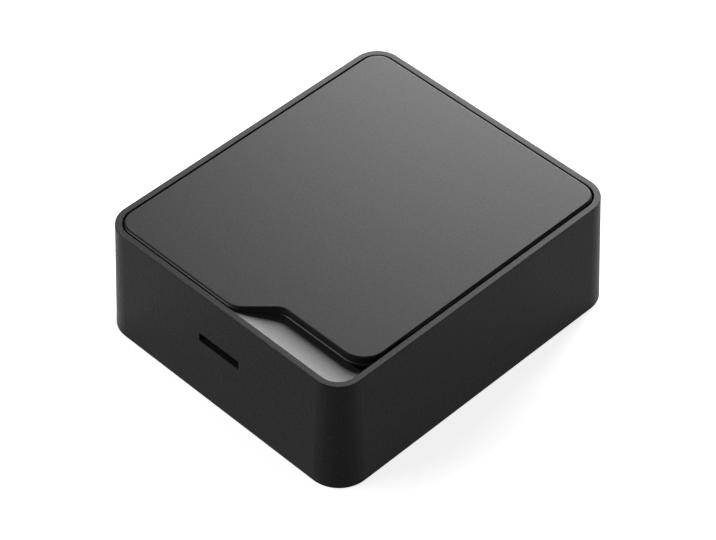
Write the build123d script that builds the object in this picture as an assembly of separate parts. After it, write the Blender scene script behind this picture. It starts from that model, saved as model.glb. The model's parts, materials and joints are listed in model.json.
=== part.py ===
from build123d import *
import os
from math import radians, tan

# A cellular module: a moulded housing with a recessed deck and finger scoop, an inset top plate,
# a screwed bottom cover, and inside them a circuit board with modem, port and two antennas.
# Millimetres, +Z up. The origin is the middle of the bottom face, and the slot faces -Y.

# Housing
BASE_WIDTH = 80.0
BASE_DEPTH = 92.8
RIM_HEIGHT = 31.9
CORNER_RADIUS = 8.2
WALL_DRAFT = 2.7
WALL = 2.2
RIM_WIDTH = 1.67
RIM_EDGE_RADIUS = 0.2
RIM_INNER_EDGE = 0.12
FOOT_EDGE = 0.15
RECESS_DEPTH = 3.0
DECK = 2.0

# Finger scoop in the front right corner of the deck
SCOOP_LIP = 0.3
SCOOP_HOLLOW = 0.2
SCOOP_STEP = 0.1
SCOOP_LEAD_IN = 1.5
SCOOP_SKIN = 1.8
SCOOP_CLEARANCE = 0.15

# Slot in the front wall
SLOT_LENGTH = 13.0
SLOT_HEIGHT = 2.5
SLOT_OFFSET = 0.55
SLOT_LEVEL = 18.45

# Top plate
PLATE_GAP = 0.7
PLATE_PROUD = 0.4
PLATE_EDGE_RADIUS = 0.2
SHOULDER_WIDTH = 0.3
SHOULDER_DROP = 0.4
SHOULDER_BEVEL = 0.2
NOTCH_START = 2.85
NOTCH_DEPTH = 7.95
NOTCH_DROP = 2.1
NOTCH_RUN_IN_RADIUS = 5.3
NOTCH_INNER_RADIUS = 4.0
NOTCH_CORNER_RADIUS = 6.0
PLATE_SKIN = 1.8
PLATE_LAND = 7.0
PLATE_RIB = 2.4
TAPE_THICKNESS = 0.3
TAPE_INSET = 0.6

# Bottom cover, its seal and its screws
COVER = 2.0
COVER_SKIRT = 1.1
COVER_CLEARANCE = 0.15
COVER_RIB = 1.2
COVER_RIB_HEIGHT = 2.5
SEAL_THICKNESS = 0.6
SCREW_INSET = 8.5
COVER_PAD_RADIUS = 4.0
COVER_PAD_HEIGHT = 2.2
COVER_SCREW_RADIUS = 1.45
COVER_SCREW_LENGTH = 10.0
COVER_HEAD_RADIUS = 2.6
COVER_HEAD_HEIGHT = 1.9
COVER_HEAD_SUNK = 0.4
BOSS_WALL = 1.8
BOSS_GAP = 0.1
BOSS_RIB = 1.2
BOSS_RIB_START = 8.0
BOSS_ROOT = 1.7
SCREW_CLEARANCE = 0.1
HEAD_CLEARANCE = 0.3
DRIVE_RADIUS = 0.9
DRIVE_DEPTH = 1.0

# Circuit board
BOARD = 1.6
BOARD_EDGE_GAP = 2.0
BOARD_CORNER_GAP = 1.2
POST_RADIUS = 2.75
POST_SPREAD_X = 24.0
POST_SPREAD_Y = 29.0
BOARD_SCREW_RADIUS = 1.2
BOARD_SCREW_LENGTH = 6.0
BOARD_HEAD_RADIUS = 2.2
BOARD_HEAD_HEIGHT = 1.6

# Port behind the slot
PORT_MARGIN = 1.5
PORT_LENGTH = 10.0
PORT_WALL_GAP = 0.3
PORT_SHELL = 0.3
PORT_TONGUE = 0.9
PORT_MOUTH_DEPTH = 7.0
CONTACT_COUNT = 8
CONTACT_WIDTH = 0.7
CONTACT_THICKNESS = 0.15
CONTACT_LENGTH = 5.5

# Modem and card
MODEM_WIDTH = 32.0
MODEM_DEPTH = 29.0
MODEM_BOARD = 0.8
MODEM_PLACE = (9.0, -1.3)
SHIELD_INSET = 0.6
SHIELD_HEIGHT = 1.7
SHIELD_SHEET = 0.2
SHIELD_CORNER = 0.4
CARD_WIDTH = 8.8
CARD_DEPTH = 12.3
CARD_THICKNESS = 0.67
CARD_CORNER = 1.65
CARD_CLEARANCE = 0.15
HOLDER_SHEET = 0.25
HOLDER_BASE = 0.4
HOLDER_WALL = 0.9
HOLDER_PLACE = (-19.0, -8.0)

# Voltage converter
INDUCTOR_SIZE = 6.6
INDUCTOR_HEIGHT = 3.0
INDUCTOR_CORNER = 1.2
INDUCTOR_GAP = 0.9
CAPACITOR_RADIUS = 3.15
CAPACITOR_HEIGHT = 5.8
CAPACITOR_BASE = 6.6
CAPACITOR_BASE_HEIGHT = 0.8
CAPACITOR_PLACES = ((-18.0, -22.0), (-10.5, -22.0), (13.5, -21.0))
CHIP_SIZES = ((5.0, 4.0, 1.0), (4.0, 4.0, 0.8))
CHIP_PLACES = ((15.0, -30.0), (-12.0, 24.0))

# Antennas, leads, plugs and sockets
ANTENNA = 0.2
MAIN_ANTENNA_LENGTH = 40.0
MAIN_ANTENNA_WIDTH = 8.0
SECOND_ANTENNA_LENGTH = 52.0
SECOND_ANTENNA_WIDTH = 7.0
ANTENNA_WALL_GAP = 1.2
ANTENNA_SLIT = 1.0
ANTENNA_BRIDGE = 12.0
LEAD_RADIUS = 0.6
LEAD_BEND = 3.0
LEAD_RUN = 2.5
LEAD_SLANT = 9.0
MAIN_PLUG_PLACE = (12.0, 15.9)
SECOND_PLUG_PLACE = (-10.0, 6.0)
SOCKET_BASE = 2.6
SOCKET_BASE_HEIGHT = 0.35
SOCKET_RADIUS = 1.0
SOCKET_HEIGHT = 0.9
SOCKET_BORE = 0.7
PLUG_RADIUS = 1.5
PLUG_CLEARANCE = 0.06
PLUG_ROOF = 0.4
PLUG_BARREL_RADIUS = 0.85
PLUG_BARREL_LENGTH = 3.2

# Room for cutting bodies to pass the faces that they cut
OVER = 5.0

# Sizes that follow from the above
LEAN = tan(radians(WALL_DRAFT))
RIM_WIDTH_X = BASE_WIDTH - 2 * RIM_HEIGHT * LEAN
RIM_DEPTH_Y = BASE_DEPTH - 2 * RIM_HEIGHT * LEAN
RECESS_X = RIM_WIDTH_X - 2 * RIM_WIDTH
RECESS_Y = RIM_DEPTH_Y - 2 * RIM_WIDTH
RECESS_RADIUS = CORNER_RADIUS - RIM_HEIGHT * LEAN - RIM_WIDTH
DECK_TOP = RIM_HEIGHT - RECESS_DEPTH
DECK_UNDER = DECK_TOP - DECK
PLATE_X = RECESS_X - 2 * PLATE_GAP
PLATE_Y = RECESS_Y - 2 * PLATE_GAP
PLATE_RADIUS = RECESS_RADIUS - PLATE_GAP
PLATE_TOP = RIM_HEIGHT + PLATE_PROUD
PLATE_UNDER = DECK_TOP + TAPE_THICKNESS
NOTCH_LINE = -PLATE_Y / 2 + NOTCH_DEPTH
SCOOP_BACK = NOTCH_LINE - SHOULDER_WIDTH
SCOOP_FOOT = PLATE_TOP - NOTCH_DROP - SCOOP_STEP
SCOOP_START = NOTCH_START - SCOOP_LEAD_IN
LEDGE = COVER + SEAL_THICKNESS
CAVITY_X = BASE_WIDTH - 2 * WALL
CAVITY_Y = BASE_DEPTH - 2 * WALL
CAVITY_RADIUS = CORNER_RADIUS - WALL
COVER_X = BASE_WIDTH - 2 * COVER_SKIRT
COVER_Y = BASE_DEPTH - 2 * COVER_SKIRT
COVER_RADIUS = CORNER_RADIUS - COVER_SKIRT
SCREW_X = BASE_WIDTH / 2 - SCREW_INSET
SCREW_Y = BASE_DEPTH / 2 - SCREW_INSET
BOSS_RADIUS = COVER_SCREW_RADIUS + SCREW_CLEARANCE + BOSS_WALL
PAD_TOP = COVER + COVER_PAD_HEIGHT
BOSS_START = PAD_TOP + BOSS_GAP
HEAD_TOP = COVER_HEAD_SUNK + COVER_HEAD_HEIGHT
PORT_X = SLOT_LENGTH + 2 * PORT_MARGIN
PORT_Z = SLOT_HEIGHT + 2 * PORT_MARGIN
BOARD_TOP = SLOT_LEVEL - PORT_Z / 2
BOARD_UNDER = BOARD_TOP - BOARD
BOARD_X = CAVITY_X - 2 * (BOARD_TOP * LEAN + BOARD_EDGE_GAP)
BOARD_Y = CAVITY_Y - 2 * (BOARD_TOP * LEAN + BOARD_EDGE_GAP)
PORT_FACE = -(CAVITY_Y / 2 - (BOARD_TOP + PORT_Z) * LEAN - PORT_WALL_GAP)
DECK_CAVITY_X = CAVITY_X - 2 * DECK_UNDER * LEAN
DECK_CAVITY_Y = CAVITY_Y - 2 * DECK_UNDER * LEAN
MAIN_ANTENNA_Y = DECK_CAVITY_Y / 2 - ANTENNA_WALL_GAP - MAIN_ANTENNA_WIDTH / 2
SECOND_ANTENNA_X = -(DECK_CAVITY_X / 2 - ANTENNA_WALL_GAP - SECOND_ANTENNA_WIDTH / 2)
LEAD_TOP = DECK_UNDER - ANTENNA - LEAD_RADIUS
SOCKET_TOP = BOARD_TOP + SOCKET_BASE_HEIGHT + SOCKET_HEIGHT
PLUG_AXIS = BOARD_TOP + SOCKET_BASE_HEIGHT + PLUG_BARREL_RADIUS + PLUG_CLEARANCE
MAIN_LEAD_REACH = MAIN_ANTENNA_Y - MAIN_PLUG_PLACE[1]
SECOND_LEAD_REACH = SECOND_PLUG_PLACE[0] - SECOND_ANTENNA_X
INDUCTOR_X = MODEM_PLACE[0] + (MODEM_WIDTH - INDUCTOR_SIZE) / 2
INDUCTOR_Y = MODEM_PLACE[1] - (MODEM_DEPTH + INDUCTOR_SIZE) / 2 - INDUCTOR_GAP
COVER_SCREW_PLACES = [(x, y) for x in (-SCREW_X, SCREW_X) for y in (-SCREW_Y, SCREW_Y)]
POST_PLACES = [(x, y) for x in (-POST_SPREAD_X, POST_SPREAD_X) for y in (-POST_SPREAD_Y, POST_SPREAD_Y)]


def prism(sketch, low, high):
    """A flat outline carried straight up from one height to another."""
    return extrude(Pos(0, 0, low) * sketch, high - low)


def rod(radius, low, high, place=(0, 0)):
    """An upright round rod between two heights."""
    return Pos(place[0], place[1], (low + high) / 2) * Cylinder(radius, high - low)


def block(x_range, y_range, z_range):
    """A block given by its limits along each axis."""
    size = [limits[1] - limits[0] for limits in (x_range, y_range, z_range)]
    middle = [(limits[0] + limits[1]) / 2 for limits in (x_range, y_range, z_range)]
    return Pos(*middle) * Box(*size)


def chip(place, size, low):
    """A block that stands on a height, centred on a place in plan."""
    return Pos(place[0], place[1], low + size[2] / 2) * Box(*size)


def plate_outline(grow=0.0):
    """The plate's plan, with its front right corner cut back by a slanting run, grown all round."""
    right = PLATE_X / 2
    front = -PLATE_Y / 2
    corners = [
        (-right, -front),
        (-right, front),
        (NOTCH_START, front),
        (NOTCH_START + NOTCH_DEPTH, NOTCH_LINE),
        (right, NOTCH_LINE),
        (right, -front),
    ]
    radii = [
        PLATE_RADIUS,
        PLATE_RADIUS,
        NOTCH_RUN_IN_RADIUS,
        NOTCH_INNER_RADIUS,
        NOTCH_CORNER_RADIUS,
        PLATE_RADIUS,
    ]
    outline = make_face(FilletPolyline(*corners, radius=radii, close=True))
    return offset(outline, grow) if grow else outline


def scoop_section(sunk=0.0):
    """The scoop's section across Y: a slightly hollow slope from the front rim down to the plate's foot."""
    front = (-RECESS_Y / 2, RIM_HEIGHT - SCOOP_LIP - sunk)
    back = (SCOOP_BACK, SCOOP_FOOT - sunk)
    lowest = ((front[0] + back[0]) / 2, (front[1] + back[1]) / 2 - SCOOP_HOLLOW)
    slope = ThreePointArc(front, lowest, back)
    into_rim = front[0] - RIM_WIDTH
    sides = Polyline(back, (back[0], DECK_UNDER), (into_rim, DECK_UNDER), (into_rim, front[1]), front)
    return Plane.YZ * make_face([slope, sides])


def make_housing():
    """The moulded box: leaning walls, rim, deck, scoop, slot, screw bosses and board posts."""
    outer = extrude(RectangleRounded(BASE_WIDTH, BASE_DEPTH, CORNER_RADIUS), RIM_HEIGHT, taper=WALL_DRAFT)
    outer = fillet(outer.faces().sort_by(Axis.Z)[-1].edges(), RIM_EDGE_RADIUS)
    outer = chamfer(outer.faces().sort_by(Axis.Z)[0].edges(), FOOT_EDGE)
    recess_plan = RectangleRounded(RECESS_X, RECESS_Y, RECESS_RADIUS)
    body = outer - prism(recess_plan, DECK_TOP, RIM_HEIGHT + OVER)
    rim = body.faces().filter_by(Axis.Z).sort_by(Axis.Z)[-1]
    body = chamfer(rim.inner_wires()[0].edges(), RIM_INNER_EDGE)
    cavity = extrude(RectangleRounded(CAVITY_X, CAVITY_Y, CAVITY_RADIUS), DECK_UNDER, taper=WALL_DRAFT)
    rabbet = prism(RectangleRounded(COVER_X, COVER_Y, COVER_RADIUS), -OVER, LEDGE)
    scoop_reach = RECESS_X / 2 - SCOOP_START + RIM_WIDTH
    ramp = Pos(SCOOP_START, 0, 0) * extrude(scoop_section(), scoop_reach, dir=(1, 0, 0))
    ramp = ramp & prism(recess_plan, DECK_UNDER, RIM_HEIGHT)
    ramp = ramp - prism(plate_outline(SHOULDER_WIDTH + SCOOP_CLEARANCE), DECK_UNDER, RIM_HEIGHT)
    hollow = Pos(SCOOP_START, 0, 0) * extrude(scoop_section(SCOOP_SKIN), scoop_reach, dir=(1, 0, 0))
    hollow_plan = RectangleRounded(DECK_CAVITY_X, DECK_CAVITY_Y, CAVITY_RADIUS - DECK_UNDER * LEAN)
    hollow = hollow & prism(hollow_plan, DECK_UNDER, RIM_HEIGHT)
    hollow = hollow - prism(plate_outline(SHOULDER_WIDTH + SCOOP_SKIN), DECK_UNDER, RIM_HEIGHT)
    body = body - cavity - rabbet + ramp - hollow
    slot = block(
        (SLOT_OFFSET - SLOT_LENGTH / 2, SLOT_OFFSET + SLOT_LENGTH / 2),
        (-BASE_DEPTH / 2 - OVER, PORT_FACE),
        (SLOT_LEVEL - SLOT_HEIGHT / 2, SLOT_LEVEL + SLOT_HEIGHT / 2),
    )
    body = body - slot
    for x, y in COVER_SCREW_PLACES:
        body = body + rod(BOSS_RADIUS, BOSS_START, DECK_UNDER + BOSS_ROOT, (x, y))
        side = 1 if x > 0 else -1
        end = 1 if y > 0 else -1
        to_wall_x = side * (BASE_WIDTH / 2 - DECK_UNDER * LEAN - WALL / 2)
        to_wall_y = end * (BASE_DEPTH / 2 - DECK_UNDER * LEAN - WALL / 2)
        rib_x = sorted((x, to_wall_x))
        rib_y = sorted((y, to_wall_y))
        body = body + block(rib_x, (y - BOSS_RIB / 2, y + BOSS_RIB / 2), (BOSS_RIB_START, DECK_UNDER))
        body = body + block((x - BOSS_RIB / 2, x + BOSS_RIB / 2), rib_y, (BOSS_RIB_START, DECK_UNDER))
    for place in POST_PLACES:
        body = body + rod(POST_RADIUS, BOARD_TOP, DECK_UNDER, place)
    for place in COVER_SCREW_PLACES:
        tip = HEAD_TOP + COVER_SCREW_LENGTH + SCREW_CLEARANCE
        body = body - rod(COVER_SCREW_RADIUS + SCREW_CLEARANCE, BOSS_START, tip, place)
    for place in POST_PLACES:
        tip = BOARD_UNDER + BOARD_SCREW_LENGTH + SCREW_CLEARANCE
        body = body - rod(BOARD_SCREW_RADIUS + SCREW_CLEARANCE, BOARD_TOP, tip, place)
    return body


def lowered_region(high, low, far):
    """The region above a slope from a high point to a low one and level from there on to a far limit."""
    roof = PLATE_TOP + OVER
    return make_face(Polyline(high, low, (far, low[1]), (far, roof), (high[0], roof), close=True))


def shoulder_prism(top):
    """The plate's wider foot up to a height, with a bevel round its upper edge."""
    foot = prism(plate_outline(SHOULDER_WIDTH), PLATE_UNDER, top)
    return chamfer(foot.faces().sort_by(Axis.Z)[-1].edges(), SHOULDER_BEVEL)


def make_top_plate():
    """The inset plate: a bevelled shoulder runs round its edge and drops where the scoop opens."""
    shoulder_top = PLATE_TOP - SHOULDER_DROP
    flange = shoulder_prism(shoulder_top)
    notch_top = PLATE_TOP - NOTCH_DROP
    below_bevel = notch_top - SHOULDER_BEVEL
    slant_end = NOTCH_START + NOTCH_DEPTH
    rise_start = NOTCH_LINE + NOTCH_CORNER_RADIUS
    rise_end = rise_start + NOTCH_DEPTH
    along_front = lowered_region((NOTCH_START, shoulder_top), (slant_end, below_bevel), PLATE_X)
    along_side = lowered_region((rise_end, shoulder_top), (rise_start, below_bevel), -PLATE_Y)
    front_cut = extrude(Plane.XZ * along_front, PLATE_Y, both=True)
    side_cut = extrude(Plane.YZ * along_side, PLATE_X, both=True)
    flange = flange - (front_cut & side_cut) + shoulder_prism(notch_top)
    top = prism(plate_outline(), PLATE_UNDER, PLATE_TOP)
    top = fillet(top.faces().sort_by(Axis.Z)[-1].edges(), PLATE_EDGE_RADIUS)
    core = prism(plate_outline(-PLATE_LAND), PLATE_UNDER - OVER, PLATE_TOP - PLATE_SKIN)
    rib = block((-PLATE_Y, PLATE_Y), (-PLATE_RIB / 2, PLATE_RIB / 2), (PLATE_UNDER - OVER, PLATE_TOP))
    for turn in (0, 90):
        core = core - Rot(0, 0, turn) * rib
    return flange + top - core


def make_plate_tape():
    """Tape frame under the plate's land."""
    frame = plate_outline(-TAPE_INSET) - plate_outline(-PLATE_LAND + TAPE_INSET)
    return prism(frame, DECK_TOP, PLATE_UNDER)


def make_bottom_cover():
    """Flat cover with a rounded plan, stiffening ribs and four pads with sunk screw seats."""
    gap = 2 * COVER_CLEARANCE
    plan = RectangleRounded(COVER_X - gap, COVER_Y - gap, COVER_RADIUS - COVER_CLEARANCE)
    cover = prism(plan, 0, COVER)
    cover = chamfer(cover.faces().sort_by(Axis.Z)[0].edges(), FOOT_EDGE)
    for x in (-SCREW_X / 2, 0, SCREW_X / 2):
        cover = cover + block((x - COVER_RIB / 2, x + COVER_RIB / 2), (-SCREW_Y, SCREW_Y),
                              (COVER, COVER + COVER_RIB_HEIGHT))
    for y in (-SCREW_Y / 2, SCREW_Y / 2):
        cover = cover + block((-SCREW_X, SCREW_X), (y - COVER_RIB / 2, y + COVER_RIB / 2),
                              (COVER, COVER + COVER_RIB_HEIGHT))
    for place in COVER_SCREW_PLACES:
        cover = cover + rod(COVER_PAD_RADIUS, COVER, PAD_TOP, place)
    for place in COVER_SCREW_PLACES:
        cover = cover - rod(COVER_HEAD_RADIUS + HEAD_CLEARANCE, -OVER, HEAD_TOP, place)
        cover = cover - rod(COVER_SCREW_RADIUS + SCREW_CLEARANCE, 0, PAD_TOP, place)
    return cover


def make_cover_seal():
    """Flat gasket on the housing's ledge, all the way round."""
    gap = 2 * COVER_CLEARANCE
    outline = RectangleRounded(COVER_X - gap, COVER_Y - gap, COVER_RADIUS - COVER_CLEARANCE)
    hole = RectangleRounded(CAVITY_X, CAVITY_Y, CAVITY_RADIUS)
    return prism(outline - hole, COVER, LEDGE)


def screw(shank_radius, length, head_radius, head_height):
    """Flat-head cap screw, head down, with the seat of its head at the origin."""
    head = rod(head_radius, -head_height, 0)
    drive = Pos(0, 0, -head_height) * extrude(RegularPolygon(DRIVE_RADIUS, 6), DRIVE_DEPTH)
    return head - drive + rod(shank_radius, 0, length)


def screw_group(places, level, one):
    """Equal screws at several places, as one group."""
    return Compound(children=[Pos(x, y, level) * one for x, y in places])


def make_main_board():
    """Circuit board, cut square at its corners for the bosses, with holes for its screws."""
    between_x = 2 * (SCREW_X - BOSS_RADIUS - BOARD_CORNER_GAP)
    between_y = 2 * (SCREW_Y - BOSS_RADIUS - BOARD_CORNER_GAP)
    plan = Rectangle(between_x, BOARD_Y) + Rectangle(BOARD_X, between_y)
    for place in POST_PLACES:
        plan = plan - Pos(*place) * Circle(BOARD_SCREW_RADIUS + SCREW_CLEARANCE)
    return prism(plan, BOARD_UNDER, BOARD_TOP)


def port_box(inset, back):
    """The port's block in plan and height, drawn in by an inset, from its face to a given depth."""
    return block(
        (SLOT_OFFSET - PORT_X / 2 + inset, SLOT_OFFSET + PORT_X / 2 - inset),
        (PORT_FACE, PORT_FACE + back),
        (BOARD_TOP + inset, BOARD_TOP + PORT_Z - inset),
    )


def port_mouth():
    """The room in the port for the plug that comes through the slot."""
    return block(
        (SLOT_OFFSET - SLOT_LENGTH / 2, SLOT_OFFSET + SLOT_LENGTH / 2),
        (PORT_FACE - OVER, PORT_FACE + PORT_MOUTH_DEPTH),
        (SLOT_LEVEL - SLOT_HEIGHT / 2, SLOT_LEVEL + SLOT_HEIGHT / 2),
    )


def tongue_limits():
    """Limits of the tongue in the port's mouth that carries the contacts."""
    return (
        (SLOT_OFFSET - SLOT_LENGTH / 2 + PORT_MARGIN, SLOT_OFFSET + SLOT_LENGTH / 2 - PORT_MARGIN),
        (PORT_FACE + PORT_MOUTH_DEPTH - CONTACT_LENGTH, PORT_FACE + PORT_MOUTH_DEPTH),
        (SLOT_LEVEL - PORT_TONGUE / 2, SLOT_LEVEL + PORT_TONGUE / 2),
    )


def make_port_shell():
    """Metal shell round the port's insulator, open at the front and back."""
    return port_box(0, PORT_LENGTH) - port_box(PORT_SHELL, PORT_LENGTH)


def make_port_body():
    """Insulator of the port, with a tongue in its mouth."""
    return port_box(PORT_SHELL, PORT_LENGTH) - port_mouth() + block(*tongue_limits())


def make_port_contacts():
    """A row of flat contacts on the upper face of the tongue."""
    across, along, height = tongue_limits()
    pitch = (across[1] - across[0]) / CONTACT_COUNT
    strips = []
    for index in range(CONTACT_COUNT):
        middle = across[0] + (index + 0.5) * pitch
        strips.append(block(
            (middle - CONTACT_WIDTH / 2, middle + CONTACT_WIDTH / 2),
            along,
            (height[1], height[1] + CONTACT_THICKNESS),
        ))
    return Compound(children=strips)


def make_modem_board():
    """Carrier board of the modem."""
    return chip(MODEM_PLACE, (MODEM_WIDTH, MODEM_DEPTH, MODEM_BOARD), BOARD_TOP)


def make_modem_shield():
    """Pressed metal lid over the modem, open below."""
    width = MODEM_WIDTH - 2 * SHIELD_INSET
    depth = MODEM_DEPTH - 2 * SHIELD_INSET
    low = BOARD_TOP + MODEM_BOARD
    lid = chip(MODEM_PLACE, (width, depth, SHIELD_HEIGHT), low)
    lid = fillet(lid.edges().filter_by(Axis.Z), SHIELD_CORNER)
    room = (width - 2 * SHIELD_SHEET, depth - 2 * SHIELD_SHEET, SHIELD_HEIGHT - SHIELD_SHEET)
    return lid - chip(MODEM_PLACE, room, low)


def make_sim_holder():
    """Card holder: a base with side walls and a folded metal lid, open at the end for the card."""
    width = CARD_WIDTH + 2 * (CARD_CLEARANCE + HOLDER_WALL)
    room = CARD_THICKNESS + 2 * CARD_CLEARANCE
    height = HOLDER_BASE + room + HOLDER_SHEET
    holder = chip(HOLDER_PLACE, (width, CARD_DEPTH, height), BOARD_TOP)
    mouth = (CARD_WIDTH + 2 * CARD_CLEARANCE, CARD_DEPTH, room)
    mouth_place = (HOLDER_PLACE[0], HOLDER_PLACE[1] - HOLDER_WALL)
    return holder - chip(mouth_place, mouth, BOARD_TOP + HOLDER_BASE)


def make_sim_card():
    """Small card with one cut corner, resting on the holder's base."""
    plan = Rectangle(CARD_WIDTH, CARD_DEPTH)
    plan = chamfer(plan.vertices().group_by(Axis.Y)[-1].sort_by(Axis.X)[-1], CARD_CORNER)
    place = (HOLDER_PLACE[0], HOLDER_PLACE[1] - HOLDER_WALL - CARD_CLEARANCE)
    low = BOARD_TOP + HOLDER_BASE
    return Pos(*place, 0) * prism(plan, low, low + CARD_THICKNESS)


def make_power_inductor():
    """Moulded choke with cut upright corners."""
    size = (INDUCTOR_SIZE, INDUCTOR_SIZE, INDUCTOR_HEIGHT)
    choke = chip((INDUCTOR_X, INDUCTOR_Y), size, BOARD_TOP)
    return chamfer(choke.edges().filter_by(Axis.Z), INDUCTOR_CORNER)


def make_power_capacitors():
    """Round can capacitors, each on a square base."""
    cans = []
    for place in CAPACITOR_PLACES:
        base = chip(place, (CAPACITOR_BASE, CAPACITOR_BASE, CAPACITOR_BASE_HEIGHT), BOARD_TOP)
        can = rod(CAPACITOR_RADIUS, BOARD_TOP, BOARD_TOP + CAPACITOR_HEIGHT, place)
        cans.append(base + can)
    return Compound(children=cans)


def make_power_chips():
    """Flat chips of the voltage converter."""
    return Compound(children=[chip(place, size, BOARD_TOP) for place, size in zip(CHIP_PLACES, CHIP_SIZES)])


def antenna_sheet(length, width):
    """A flat antenna along X with the slit of its folded strip, under the deck."""
    slit = Rectangle(length - ANTENNA_BRIDGE, ANTENNA_SLIT)
    sheet = Rectangle(length, width) - Pos(ANTENNA_BRIDGE / 2, 0) * slit
    return prism(sheet, DECK_UNDER - ANTENNA, DECK_UNDER)


def make_main_antenna():
    """Main antenna along the back of the deck."""
    return Pos(0, MAIN_ANTENNA_Y, 0) * antenna_sheet(MAIN_ANTENNA_LENGTH, MAIN_ANTENNA_WIDTH)


def make_second_antenna():
    """Second antenna along the left of the deck."""
    sheet = antenna_sheet(SECOND_ANTENNA_LENGTH, SECOND_ANTENNA_WIDTH)
    return Pos(SECOND_ANTENNA_X, 0, 0) * Rot(0, 0, 90) * sheet


def lead(reach):
    """Coaxial lead in its own plane: from its antenna, slanting down, and level into the plug."""
    start = PLUG_BARREL_LENGTH
    foot = start + LEAD_RUN
    head = foot + LEAD_SLANT
    path = FilletPolyline(
        (reach, 0, LEAD_TOP),
        (head, 0, LEAD_TOP),
        (foot, 0, PLUG_AXIS),
        (start, 0, PLUG_AXIS),
        radius=LEAD_BEND,
    )
    return sweep(Plane(path @ 0, z_dir=path % 0) * Circle(LEAD_RADIUS), path=path)


def board_socket():
    """Coaxial socket on the board: a square base with a round collar."""
    base = chip((0, 0), (SOCKET_BASE, SOCKET_BASE, SOCKET_BASE_HEIGHT), BOARD_TOP)
    collar = rod(SOCKET_RADIUS, BOARD_TOP + SOCKET_BASE_HEIGHT, SOCKET_TOP)
    return base + collar - rod(SOCKET_BORE, BOARD_TOP + SOCKET_BASE_HEIGHT, SOCKET_TOP)


def lead_plug():
    """Snap-on plug over the socket, with a level barrel for the lead."""
    low = BOARD_TOP + SOCKET_BASE_HEIGHT + PLUG_CLEARANCE
    cap = rod(PLUG_RADIUS, low, SOCKET_TOP + PLUG_CLEARANCE + PLUG_ROOF)
    barrel = Rot(0, 90, 0) * Cylinder(PLUG_BARREL_RADIUS, PLUG_BARREL_LENGTH)
    barrel = Pos(PLUG_BARREL_LENGTH / 2, 0, PLUG_AXIS) * barrel
    room = rod(SOCKET_RADIUS + PLUG_CLEARANCE, low - OVER, SOCKET_TOP + PLUG_CLEARANCE)
    return cap + barrel - room


main_place = Pos(*MAIN_PLUG_PLACE, 0) * Rot(0, 0, 90)
second_place = Pos(*SECOND_PLUG_PLACE, 0) * Rot(0, 0, 180)
cover_screw = screw(COVER_SCREW_RADIUS, COVER_SCREW_LENGTH, COVER_HEAD_RADIUS, COVER_HEAD_HEIGHT)
board_screw = screw(BOARD_SCREW_RADIUS, BOARD_SCREW_LENGTH, BOARD_HEAD_RADIUS, BOARD_HEAD_HEIGHT)
pieces = {
    "housing": make_housing(),
    "top_plate": make_top_plate(),
    "plate_tape": make_plate_tape(),
    "bottom_cover": make_bottom_cover(),
    "cover_seal": make_cover_seal(),
    "cover_screws": screw_group(COVER_SCREW_PLACES, HEAD_TOP, cover_screw),
    "main_board": make_main_board(),
    "board_screws": screw_group(POST_PLACES, BOARD_UNDER, board_screw),
    "port_shell": make_port_shell(),
    "port_body": make_port_body(),
    "port_contacts": make_port_contacts(),
    "modem_board": make_modem_board(),
    "modem_shield": make_modem_shield(),
    "sim_holder": make_sim_holder(),
    "sim_card": make_sim_card(),
    "power_inductor": make_power_inductor(),
    "power_capacitors": make_power_capacitors(),
    "power_chips": make_power_chips(),
    "main_antenna": make_main_antenna(),
    "second_antenna": make_second_antenna(),
    "main_lead": main_place * lead(MAIN_LEAD_REACH),
    "second_lead": second_place * lead(SECOND_LEAD_REACH),
    "lead_plugs": Compound(children=[main_place * lead_plug(), second_place * lead_plug()]),
    "board_sockets": Compound(children=[main_place * board_socket(), second_place * board_socket()]),
}

os.makedirs("parts", exist_ok=True)
for name, piece in pieces.items():
    export_step(piece, f"parts/{name}.step")
    print(name, round(piece.volume, 2))
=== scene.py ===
import json
import math

import bpy
import numpy as np
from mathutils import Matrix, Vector


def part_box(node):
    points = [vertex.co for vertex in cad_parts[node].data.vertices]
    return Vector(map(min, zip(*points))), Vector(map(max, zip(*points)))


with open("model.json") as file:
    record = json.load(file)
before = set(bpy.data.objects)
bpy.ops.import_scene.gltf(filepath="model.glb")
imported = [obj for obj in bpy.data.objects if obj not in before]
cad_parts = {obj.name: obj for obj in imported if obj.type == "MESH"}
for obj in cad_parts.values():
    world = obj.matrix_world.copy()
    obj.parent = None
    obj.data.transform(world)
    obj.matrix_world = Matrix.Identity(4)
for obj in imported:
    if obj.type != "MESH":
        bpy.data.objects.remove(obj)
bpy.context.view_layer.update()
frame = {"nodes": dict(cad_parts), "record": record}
nodes = frame["nodes"]
scene = bpy.context.scene
scene.view_settings.view_transform = "Standard"

# The photograph's camera, from the outline of the box: angles in degrees, lengths in metres, and how far
# the housing's middle lies from the picture's middle in pixels
PHOTO_WIDTH = 716
SENSOR_WIDTH = 36.0
FOCAL_PIXELS = 2841.0
CAMERA_AZIMUTH = 44.96
CAMERA_ELEVATION = 44.65
CAMERA_DISTANCE = 0.668
CENTRE_RIGHT_PIXELS = 1.04
CENTRE_UP_PIXELS = 12.27
NEAREST_SEEN = 0.01

WHITE = (1, 1, 1, 1)

# Lamps: compass angle and height angle from the object in degrees, lengths in metres, power in watts
SURROUND = 0.22
BACK_ANGLES = (208, 21)
BACK_SIZE = (0.6, 0.45)
BACK_POWER = 13.2
BACK_DISTANCE = 0.8
LEFT_ANGLES = (325, 28)
LEFT_SIZE = (0.45, 0.35)
LEFT_POWER = 2.8
LEFT_DISTANCE = 0.9

# Black moulded plastic: its eroded grain in features per metre, and the stretch of noise that shades it
GRAIN_SCALE = 1800.0
GRAIN_DETAIL = 2.0
GRAIN_STRETCH = (0.35, 0.65)
PLASTIC_GREYS = (0.009, 0.015)

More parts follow.
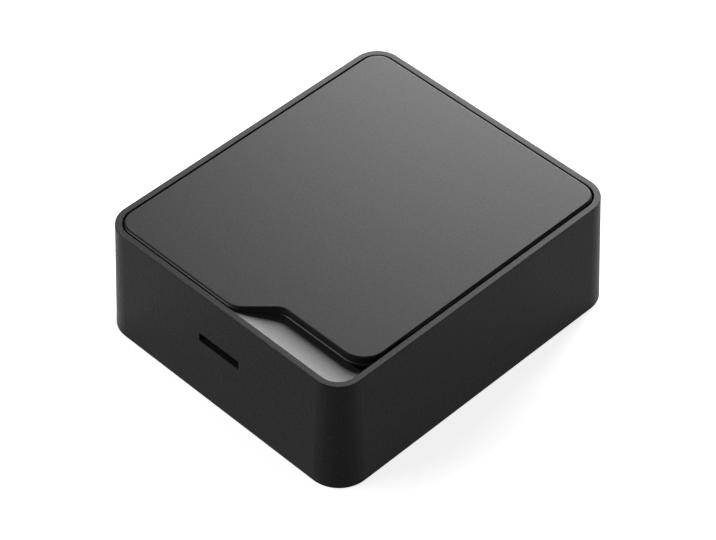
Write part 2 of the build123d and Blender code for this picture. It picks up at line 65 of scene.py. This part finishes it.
# The housing's walls and its top: grain heights in metres
HOUSING_ROUGHNESS = (0.38, 0.46)
WALL_GLOSS = 0.055
WALL_GRAIN = 0.00007
TOP_GLOSS = 0.25
TOP_GRAIN = 0.00002

# The plate's edge and its top: grain height in metres
PLATE_EDGE_ROUGHNESS = (0.41, 0.49)
PLATE_EDGE_GLOSS = 0.9
PLATE_TOP_ROUGHNESS = (0.34, 0.42)
PLATE_TOP_GLOSS = 0.3
PLATE_GRAIN = 0.000015

# A face belongs to the top where the upward part of its direction is more than this
TOP_RISE = 0.4

# Pieces inside: their mottle in features per metre, the stretch of noise that shades it, and full metal
MOTTLE_SCALE = 900.0
MOTTLE_DETAIL = 2.0
MOTTLE_STRETCH = (0.3, 0.7)
METAL = 1.0

# Floor: lengths in metres, how much light it throws back, and the white that is seen of it besides
FLOOR_SIZE = 6.0
FLOOR_GAP = 0.0001
FLOOR_GREY = 0.7
FLOOR_GLOW = 0.78
FLOOR_ROUGHNESS = 0.9
FLOOR_GLOSS = 0.0


def direction(azimuth, elevation):
    """Unit vector from the object towards a place given by compass angle and height angle."""
    turn = math.radians(azimuth)
    rise = math.radians(elevation)
    return Vector((math.sin(turn) * math.cos(rise), -math.cos(turn) * math.cos(rise), math.sin(rise)))


def grey(level):
    """A colour with red, green and blue at one level."""
    return (level, level, level)


def new_material(name):
    """An empty node material with its Principled shader."""
    material = bpy.data.materials.new(name)
    material.use_nodes = True
    tree = material.node_tree
    return material, tree, tree.nodes["Principled BSDF"]


def surface_noise(tree, scale, detail):
    """Noise on object coordinates: scale is in features per metre."""
    place = tree.nodes.new("ShaderNodeTexCoord")
    noise = tree.nodes.new("ShaderNodeTexNoise")
    noise.inputs["Scale"].default_value = scale
    noise.inputs["Detail"].default_value = detail
    tree.links.new(place.outputs["Object"], noise.inputs["Vector"])
    return noise.outputs["Fac"]


def ramp_between(tree, noise, stretch, colours):
    """Colour ramp from one colour to the other over a stretch of the noise."""
    ramp = tree.nodes.new("ShaderNodeValToRGB")
    for element, position, colour in zip(ramp.color_ramp.elements, stretch, colours):
        element.position = position
        element.color = (*colour, 1)
    tree.links.new(noise, ramp.inputs["Fac"])
    return ramp.outputs["Color"]


def spread(tree, noise, low, high):
    """Map the noise, from 0 to 1, to a range of numbers."""
    scaled = tree.nodes.new("ShaderNodeMapRange")
    scaled.inputs["To Min"].default_value = low
    scaled.inputs["To Max"].default_value = high
    tree.links.new(noise, scaled.inputs["Value"])
    return scaled.outputs["Result"]


def bump(tree, shader, noise, height):
    """Raise the surface by the noise times a height in metres."""
    node = tree.nodes.new("ShaderNodeBump")
    node.inputs["Distance"].default_value = height
    tree.links.new(noise, node.inputs["Height"])
    tree.links.new(node.outputs["Normal"], shader.inputs["Normal"])


def moulded_plastic(name, roughness, gloss, grain_height):
    """Black moulded plastic: a fine eroded grain gives its shades, its roughness and its surface."""
    material, tree, shader = new_material(name)
    grain = surface_noise(tree, GRAIN_SCALE, GRAIN_DETAIL)
    shade = ramp_between(tree, grain, GRAIN_STRETCH, [grey(level) for level in PLASTIC_GREYS])
    tree.links.new(shade, shader.inputs["Base Color"])
    tree.links.new(spread(tree, grain, *roughness), shader.inputs["Roughness"])
    shader.inputs["Specular IOR Level"].default_value = gloss
    bump(tree, shader, grain, grain_height)
    return material


def plain_finish(name, dark, light, roughness, metallic=0.0):
    """A simple finish with a slight mottle, for the pieces inside."""
    material, tree, shader = new_material(name)
    mottle = surface_noise(tree, MOTTLE_SCALE, MOTTLE_DETAIL)
    shade = ramp_between(tree, mottle, MOTTLE_STRETCH, (dark, light))
    tree.links.new(shade, shader.inputs["Base Color"])
    tree.links.new(spread(tree, mottle, *roughness), shader.inputs["Roughness"])
    shader.inputs["Metallic"].default_value = metallic
    return material


def make_finishes():
    """One material for each of the record's slots."""
    return {
        "moulded_black": moulded_plastic("moulded_black", HOUSING_ROUGHNESS, WALL_GLOSS, WALL_GRAIN),
        "plate_black": moulded_plastic("plate_black", PLATE_EDGE_ROUGHNESS, PLATE_EDGE_GLOSS, PLATE_GRAIN),
        # Inner black pieces: black plastic, with the colour set darker still as painted shade, so the slot
        # they sit in reads black
        "inner_black": plain_finish("inner_black", grey(0.002), grey(0.003), (0.8, 0.9)),
        "seal_rubber": plain_finish("seal_rubber", grey(0.012), grey(0.018), (0.7, 0.8)),
        "tape": plain_finish("tape", grey(0.015), grey(0.025), (0.8, 0.9)),
        "zinc_steel": plain_finish("zinc_steel", (0.35, 0.35, 0.36), (0.48, 0.48, 0.49), (0.25, 0.4), METAL),
        "board_green": plain_finish("board_green", (0.008, 0.07, 0.03), (0.012, 0.1, 0.045), (0.35, 0.45)),
        "tinned_metal": plain_finish("tinned_metal", grey(0.5), grey(0.6), (0.25, 0.35), METAL),
        "gold": plain_finish("gold", (0.7, 0.42, 0.12), (0.8, 0.5, 0.16), (0.2, 0.3), METAL),
        "card": plain_finish("card", (0.68, 0.68, 0.66), (0.74, 0.74, 0.72), (0.45, 0.55)),
        "ferrite": plain_finish("ferrite", grey(0.03), grey(0.05), (0.6, 0.7)),
        "can_metal": plain_finish("can_metal", (0.55, 0.55, 0.56), (0.66, 0.66, 0.67), (0.25, 0.35), METAL),
        "chip_black": plain_finish("chip_black", grey(0.008), grey(0.012), (0.45, 0.55)),
        "antenna_film": plain_finish("antenna_film", (0.32, 0.13, 0.02), (0.42, 0.18, 0.03), (0.3, 0.4)),
        "lead_grey": plain_finish("lead_grey", grey(0.05), grey(0.07), (0.45, 0.55)),
    }


def make_top_finishes():
    """The smoother finish of what faces up, for the two slots that have one."""
    return {
        "moulded_black": moulded_plastic("moulded_black_top", HOUSING_ROUGHNESS, TOP_GLOSS, TOP_GRAIN),
        "plate_black": moulded_plastic("plate_black_top", PLATE_TOP_ROUGHNESS, PLATE_TOP_GLOSS, PLATE_GRAIN),
    }


def finish_top(mesh, finish):
    """Give the faces that face up a second finish, from the upward part of each face's direction."""
    mesh.materials.append(finish)
    directions = np.empty(3 * len(mesh.polygons), dtype=np.float32)
    mesh.polygons.foreach_get("normal", directions)
    faces_up = directions[2::3] > TOP_RISE
    mesh.polygons.foreach_set("material_index", faces_up.astype(np.int32))


def dress_nodes(finishes, top_finishes):
    """Give each CAD node the finish of its slot in the record, and its top its own where it has one."""
    for part in frame["record"]["subparts"]:
        mesh = nodes[part["node"]].data
        slot = part["material_slot"]
        mesh.materials.clear()
        mesh.materials.append(finishes[slot])
        if slot in top_finishes:
            finish_top(mesh, top_finishes[slot])


def floor_finish():
    """Pale floor: white is added where the camera or a reflection sees it; from beneath it is clear."""
    material, tree, shader = new_material("floor_pale")
    shader.inputs["Base Color"].default_value = (*grey(FLOOR_GREY), 1)
    shader.inputs["Roughness"].default_value = FLOOR_ROUGHNESS
    shader.inputs["Specular IOR Level"].default_value = FLOOR_GLOSS
    shader.inputs["Emission Color"].default_value = WHITE
    rays = tree.nodes.new("ShaderNodeLightPath")
    seen = rays.outputs["Is Camera Ray"]
    for kind in ("Is Glossy Ray", "Is Transmission Ray"):
        either = tree.nodes.new("ShaderNodeMath")
        either.operation = "MAXIMUM"
        tree.links.new(seen, either.inputs[0])
        tree.links.new(rays.outputs[kind], either.inputs[1])
        seen = either.outputs["Value"]
    glow = tree.nodes.new("ShaderNodeMath")
    glow.operation = "MULTIPLY"
    glow.inputs[1].default_value = FLOOR_GLOW
    tree.links.new(seen, glow.inputs[0])
    tree.links.new(glow.outputs["Value"], shader.inputs["Emission Strength"])
    clear = tree.nodes.new("ShaderNodeBsdfTransparent")
    side = tree.nodes.new("ShaderNodeNewGeometry")
    either_side = tree.nodes.new("ShaderNodeMixShader")
    tree.links.new(side.outputs["Backfacing"], either_side.inputs[0])
    tree.links.new(shader.outputs["BSDF"], either_side.inputs[1])
    tree.links.new(clear.outputs["BSDF"], either_side.inputs[2])
    tree.links.new(either_side.outputs["Shader"], tree.nodes["Material Output"].inputs["Surface"])
    return material


def make_floor():
    """A flat square round the origin, a hair below the mount face: corners at half its size each way."""
    half = FLOOR_SIZE / 2
    across = np.array([-half, half, half, -half])
    along = np.array([-half, -half, half, half])
    corners = np.stack([across, along, np.full_like(across, -FLOOR_GAP)], axis=1)
    mesh = bpy.data.meshes.new("floor")
    mesh.from_pydata(corners.tolist(), [], [(0, 1, 2, 3)])
    mesh.materials.append(floor_finish())
    floor = bpy.data.objects.new("floor", mesh)
    scene.collection.objects.link(floor)


def area_lamp(name, angles, size, power, distance):
    """A soft rectangular lamp that faces the middle of the object."""
    lamp = bpy.data.lights.new(name, "AREA")
    lamp.shape = "RECTANGLE"
    lamp.size = size[0]
    lamp.size_y = size[1]
    lamp.energy = power
    holder = bpy.data.objects.new(name, lamp)
    scene.collection.objects.link(holder)
    away = direction(*angles)
    low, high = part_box("housing")
    holder.location = (low + high) / 2 + away * distance
    holder.rotation_euler = away.to_track_quat("Z", "Y").to_euler()


def make_light():
    """Soft studio light: a broad lamp behind, a weaker one at the front left and an even pale surround."""
    world = bpy.data.worlds.new("surround")
    scene.world = world
    world.use_nodes = True
    background = world.node_tree.nodes["Background"]
    background.inputs["Color"].default_value = WHITE
    background.inputs["Strength"].default_value = SURROUND
    area_lamp("back_soft", BACK_ANGLES, BACK_SIZE, BACK_POWER, BACK_DISTANCE)
    area_lamp("left_soft", LEFT_ANGLES, LEFT_SIZE, LEFT_POWER, LEFT_DISTANCE)


def make_camera():
    """The camera at the photograph's viewing angle, aimed so that the box lies where it does there."""
    lens = bpy.data.cameras.new("camera")
    lens.sensor_width = SENSOR_WIDTH
    lens.lens = SENSOR_WIDTH * FOCAL_PIXELS / PHOTO_WIDTH
    lens.clip_start = NEAREST_SEEN
    camera = bpy.data.objects.new("camera", lens)
    scene.collection.objects.link(camera)
    low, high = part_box("housing")
    centre = (low + high) / 2
    away = direction(CAMERA_AZIMUTH, CAMERA_ELEVATION)
    turn = math.radians(CAMERA_AZIMUTH)
    right = Vector((math.cos(turn), math.sin(turn), 0))
    up = away.cross(right)
    pixel = CAMERA_DISTANCE / FOCAL_PIXELS
    aim = centre - right * CENTRE_RIGHT_PIXELS * pixel - up * CENTRE_UP_PIXELS * pixel
    camera.location = centre + away * CAMERA_DISTANCE
    camera.rotation_euler = (camera.location - aim).to_track_quat("Z", "Y").to_euler()
    scene.camera = camera


dress_nodes(make_finishes(), make_top_finishes())
make_floor()
make_light()
make_camera()
